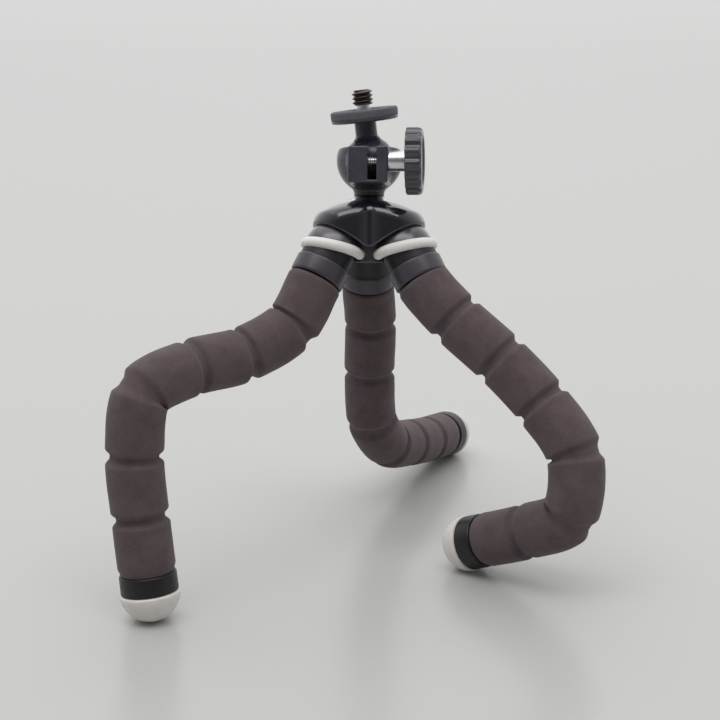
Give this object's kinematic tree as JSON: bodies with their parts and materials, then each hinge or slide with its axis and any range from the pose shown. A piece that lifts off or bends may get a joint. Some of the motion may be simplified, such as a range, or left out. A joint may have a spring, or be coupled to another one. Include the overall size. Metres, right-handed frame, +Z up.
{
  "type": "flexible leg tripod",
  "caption": "Small tabletop tripod with bendable grooved foam legs, a lobed hub and a clamped ball head with a camera screw.",
  "frame": {"origin": "centre of the footprint box, on the surface that the feet stand on", "axes": "+Z up, +Y away from the clamp ears, +X towards the clamp knob"},
  "size_m": [0.1422, 0.1638, 0.1453],
  "materials": {
    "foam": "matte closed-cell foam, fine skin",
    "hub_plastic": "polished moulded plastic",
    "knuckle_plastic": "semi-gloss moulded plastic",
    "head_plastic": "polished moulded plastic",
    "knob_plastic": "satin moulded plastic",
    "collar_plastic": "satin moulded plastic",
    "white_rubber": "soft warm white rubber",
    "pad_rubber": "matte rubber facing",
    "stud_metal": "black oxide screw",
    "bright_metal": "plated",
    "steel": "plain steel"
  },
  "bodies": {
    "hub": {"ball_cup": "head_plastic", "clamp_nut": "bright_metal", "head_bolt": "steel", "head_washer": "steel", "hub_cap": "hub_plastic", "hub_body": "knuckle_plastic", "left_band": "white_rubber", "left_collar": "collar_plastic", "left_wire": "steel", "right_band": "white_rubber", "right_collar": "collar_plastic", "right_wire": "steel", "back_band": "white_rubber", "back_collar": "collar_plastic", "back_wire": "steel"},
    "ball": {"ball": "head_plastic"},
    "stem": {"stem": "head_plastic"},
    "platform": {"camera_plate": "head_plastic", "plate_pad": "pad_rubber", "camera_stud": "stud_metal"},
    "clamp_sleeve": {"clamp_boss": "bright_metal"},
    "clamp_knob": {"clamp_knob": "knob_plastic", "clamp_screw": "bright_metal"},
    "left_leg_1": {"left_foam_1": "foam"},
    "left_leg_2": {"left_foam_2": "foam"},
    "left_leg_3": {"left_foam_3": "foam"},
    "left_leg_4": {"left_foam_4": "foam"},
    "left_leg_5": {"left_foam_5": "foam"},
    "left_leg_6": {"left_foam_6": "foam"},
    "left_leg_7": {"left_foam_7": "foam", "left_foot_collar": "collar_plastic", "left_foot_cap": "white_rubber"},
    "right_leg_1": {"right_foam_1": "foam"},
    "right_leg_2": {"right_foam_2": "foam"},
    "right_leg_3": {"right_foam_3": "foam"},
    "right_leg_4": {"right_foam_4": "foam"},
    "right_leg_5": {"right_foam_5": "foam"},
    "right_leg_6": {"right_foam_6": "foam"},
    "right_leg_7": {"right_foam_7": "foam", "right_foot_collar": "collar_plastic", "right_foot_cap": "white_rubber"},
    "back_leg_1": {"back_foam_1": "foam"},
    "back_leg_2": {"back_foam_2": "foam"},
    "back_leg_3": {"back_foam_3": "foam"},
    "back_leg_4": {"back_foam_4": "foam"},
    "back_leg_5": {"back_foam_5": "foam"},
    "back_leg_6": {"back_foam_6": "foam"},
    "back_leg_7": {"back_foam_7": "foam", "back_foot_collar": "collar_plastic", "back_foot_cap": "white_rubber"}
  },
  "joints": [
    {"name": "head_fore_tilt", "type": "hinge", "parent": "hub", "child": "ball", "pos_m": [0.00347, -0.01199, 0.1236], "axis": [1, 0, -0.0076], "range_deg": [-30, 12]},
    {"name": "head_side_tilt", "type": "hinge", "parent": "ball", "child": "stem", "pos_m": [0.00347, -0.01199, 0.1236], "axis": [-0.0217, 0.9976, -0.0663], "range_deg": [-18, 12]},
    {"name": "head_pan", "type": "hinge", "parent": "stem", "child": "platform", "pos_m": [0.00347, -0.01199, 0.1236], "axis": [-0.1124, 0.0635, 0.9916], "continuous": true},
    {"name": "clamp_travel", "type": "slide", "parent": "hub", "child": "clamp_sleeve", "axis": [0.9947, -0.1015, 0.0172], "range_m": [0, 0.0007]},
    {"name": "clamp_turn", "type": "hinge", "parent": "clamp_sleeve", "child": "clamp_knob", "pos_m": [0.00221, -0.02413, 0.12503], "axis": [0.9947, -0.1015, 0.0172], "range_deg": [0, 361]},
    {"name": "left_bend_1", "type": "hinge", "parent": "hub", "child": "left_leg_1", "pos_m": [-0.01281, -0.02976, 0.08998], "axis": [0.8487, 0.0921, -0.5207], "range_deg": [-11, 5], "deforming": ["left_wire"]},
    {"name": "left_bend_2", "type": "hinge", "parent": "left_leg_1", "child": "left_leg_2", "pos_m": [-0.01996, -0.03502, 0.07739], "axis": [-0.5207, 0.8516, -0.06], "range_deg": [-41, 10], "deforming": ["left_wire"]},
    {"name": "left_bend_3", "type": "hinge", "parent": "left_leg_2", "child": "left_leg_3", "pos_m": [-0.03393, -0.04403, 0.07075], "axis": [-0.6056, 0.756, 0.2485], "range_deg": [-27, 10], "deforming": ["left_wire"]},
    {"name": "left_bend_4", "type": "hinge", "parent": "left_leg_3", "child": "left_leg_4", "pos_m": [-0.04802, -0.05503, 0.06987], "axis": [0.5059, -0.6895, 0.5183], "range_deg": [-20, 10], "deforming": ["left_wire"]},
    {"name": "left_bend_5", "type": "hinge", "parent": "left_leg_4", "child": "left_leg_5", "pos_m": [-0.06033, -0.0673, 0.06558], "axis": [0.7116, -0.7016, -0.0374], "range_deg": [-74, 10], "deforming": ["left_wire"]},
    {"name": "left_bend_6", "type": "hinge", "parent": "left_leg_5", "child": "left_leg_6", "pos_m": [-0.06298, -0.06904, 0.04797], "axis": [0.1291, -0.9885, 0.0786], "range_deg": [-20, 10], "deforming": ["left_wire"]},
    {"name": "left_bend_7", "type": "hinge", "parent": "left_leg_6", "child": "left_leg_7", "pos_m": [-0.06182, -0.07031, 0.03015], "axis": [-0.8276, -0.5611, -0.0142], "range_deg": [-12, 10], "deforming": ["left_wire"]},
    {"name": "right_bend_1", "type": "hinge", "parent": "hub", "child": "right_leg_1", "pos_m": [0.01924, -0.02976, 0.08973], "axis": [-0.0357, -0.8784, 0.4766], "range_deg": [-20, 5], "deforming": ["right_wire"]},
    {"name": "right_bend_2", "type": "hinge", "parent": "right_leg_1", "child": "right_leg_2", "pos_m": [0.02912, -0.0357, 0.07953], "axis": [-0.0343, -0.8779, 0.4777], "range_deg": [-14, 10], "deforming": ["right_wire"]},
    {"name": "right_bend_3", "type": "hinge", "parent": "right_leg_2", "child": "right_leg_3", "pos_m": [0.04206, -0.042, 0.06888], "axis": [0.0282, 0.8749, -0.4834], "range_deg": [-13, 10], "deforming": ["right_wire"]},
    {"name": "right_bend_4", "type": "hinge", "parent": "right_leg_3", "child": "right_leg_4", "pos_m": [0.05384, -0.04881, 0.05725], "axis": [-0.1308, 0.7921, -0.5961], "range_deg": [-18, 10], "deforming": ["right_wire"]},
    {"name": "right_bend_5", "type": "hinge", "parent": "right_leg_4", "child": "right_leg_5", "pos_m": [0.06298, -0.05707, 0.04427], "axis": [0.5154, 0.8397, -0.1714], "range_deg": [-49, 10], "deforming": ["right_wire"]},
    {"name": "right_bend_6", "type": "hinge", "parent": "right_leg_5", "child": "right_leg_6", "pos_m": [0.06168, -0.05987, 0.02663], "axis": [0.7513, 0.641, -0.1572], "range_deg": [-70, 10], "deforming": ["right_wire"]},
    {"name": "right_bend_7", "type": "hinge", "parent": "right_leg_6", "child": "right_leg_7", "pos_m": [0.05069, -0.04928, 0.01728], "axis": [0.3545, 0.7982, 0.487], "range_deg": [-17, 10], "deforming": ["right_wire"]},
    {"name": "back_bend_1", "type": "hinge", "parent": "hub", "child": "back_leg_1", "pos_m": [0.00316, -0.00281, 0.08326], "axis": [0.8231, -0.5449, -0.1601], "range_deg": [-11, 5], "deforming": ["back_wire"]},
    {"name": "back_bend_2", "type": "hinge", "parent": "back_leg_1", "child": "back_leg_2", "pos_m": [0.00401, 0.00269, 0.06891], "axis": [-0.8855, 0.449, 0.1197], "range_deg": [-16, 10], "deforming": ["back_wire"]},
    {"name": "back_bend_3", "type": "hinge", "parent": "back_leg_2", "child": "back_leg_3", "pos_m": [0.00374, 0.00679, 0.05148], "axis": [-0.3673, -0.9066, -0.2078], "range_deg": [-11, 10], "deforming": ["back_wire"]},
    {"name": "back_bend_4", "type": "hinge", "parent": "back_leg_3", "child": "back_leg_4", "pos_m": [0.00457, 0.01047, 0.03399], "axis": [0.8852, -0.4619, -0.055], "range_deg": [-42, 10], "deforming": ["back_wire"]},
    {"name": "back_bend_5", "type": "hinge", "parent": "back_leg_4", "child": "back_leg_5", "pos_m": [0.00991, 0.0222, 0.02156], "axis": [0.9063, -0.4226, -0.0088], "range_deg": [-35, 10], "deforming": ["back_wire"]},
    {"name": "back_bend_6", "type": "hinge", "parent": "back_leg_5", "child": "back_leg_6", "pos_m": [0.01711, 0.03773, 0.01634], "axis": [0.9063, -0.4226, -0.0088], "range_deg": [-12, 10], "deforming": ["back_wire"]},
    {"name": "back_bend_7", "type": "hinge", "parent": "back_leg_6", "child": "back_leg_7", "pos_m": [0.02445, 0.05356, 0.01233], "axis": [0.9063, -0.4226, -0.0088], "range_deg": [-11, 10], "deforming": ["back_wire"]}
  ],
  "couplings": [
    {"joint": "clamp_turn", "follows": "clamp_travel", "rad_per_m": 8976}
  ]
}
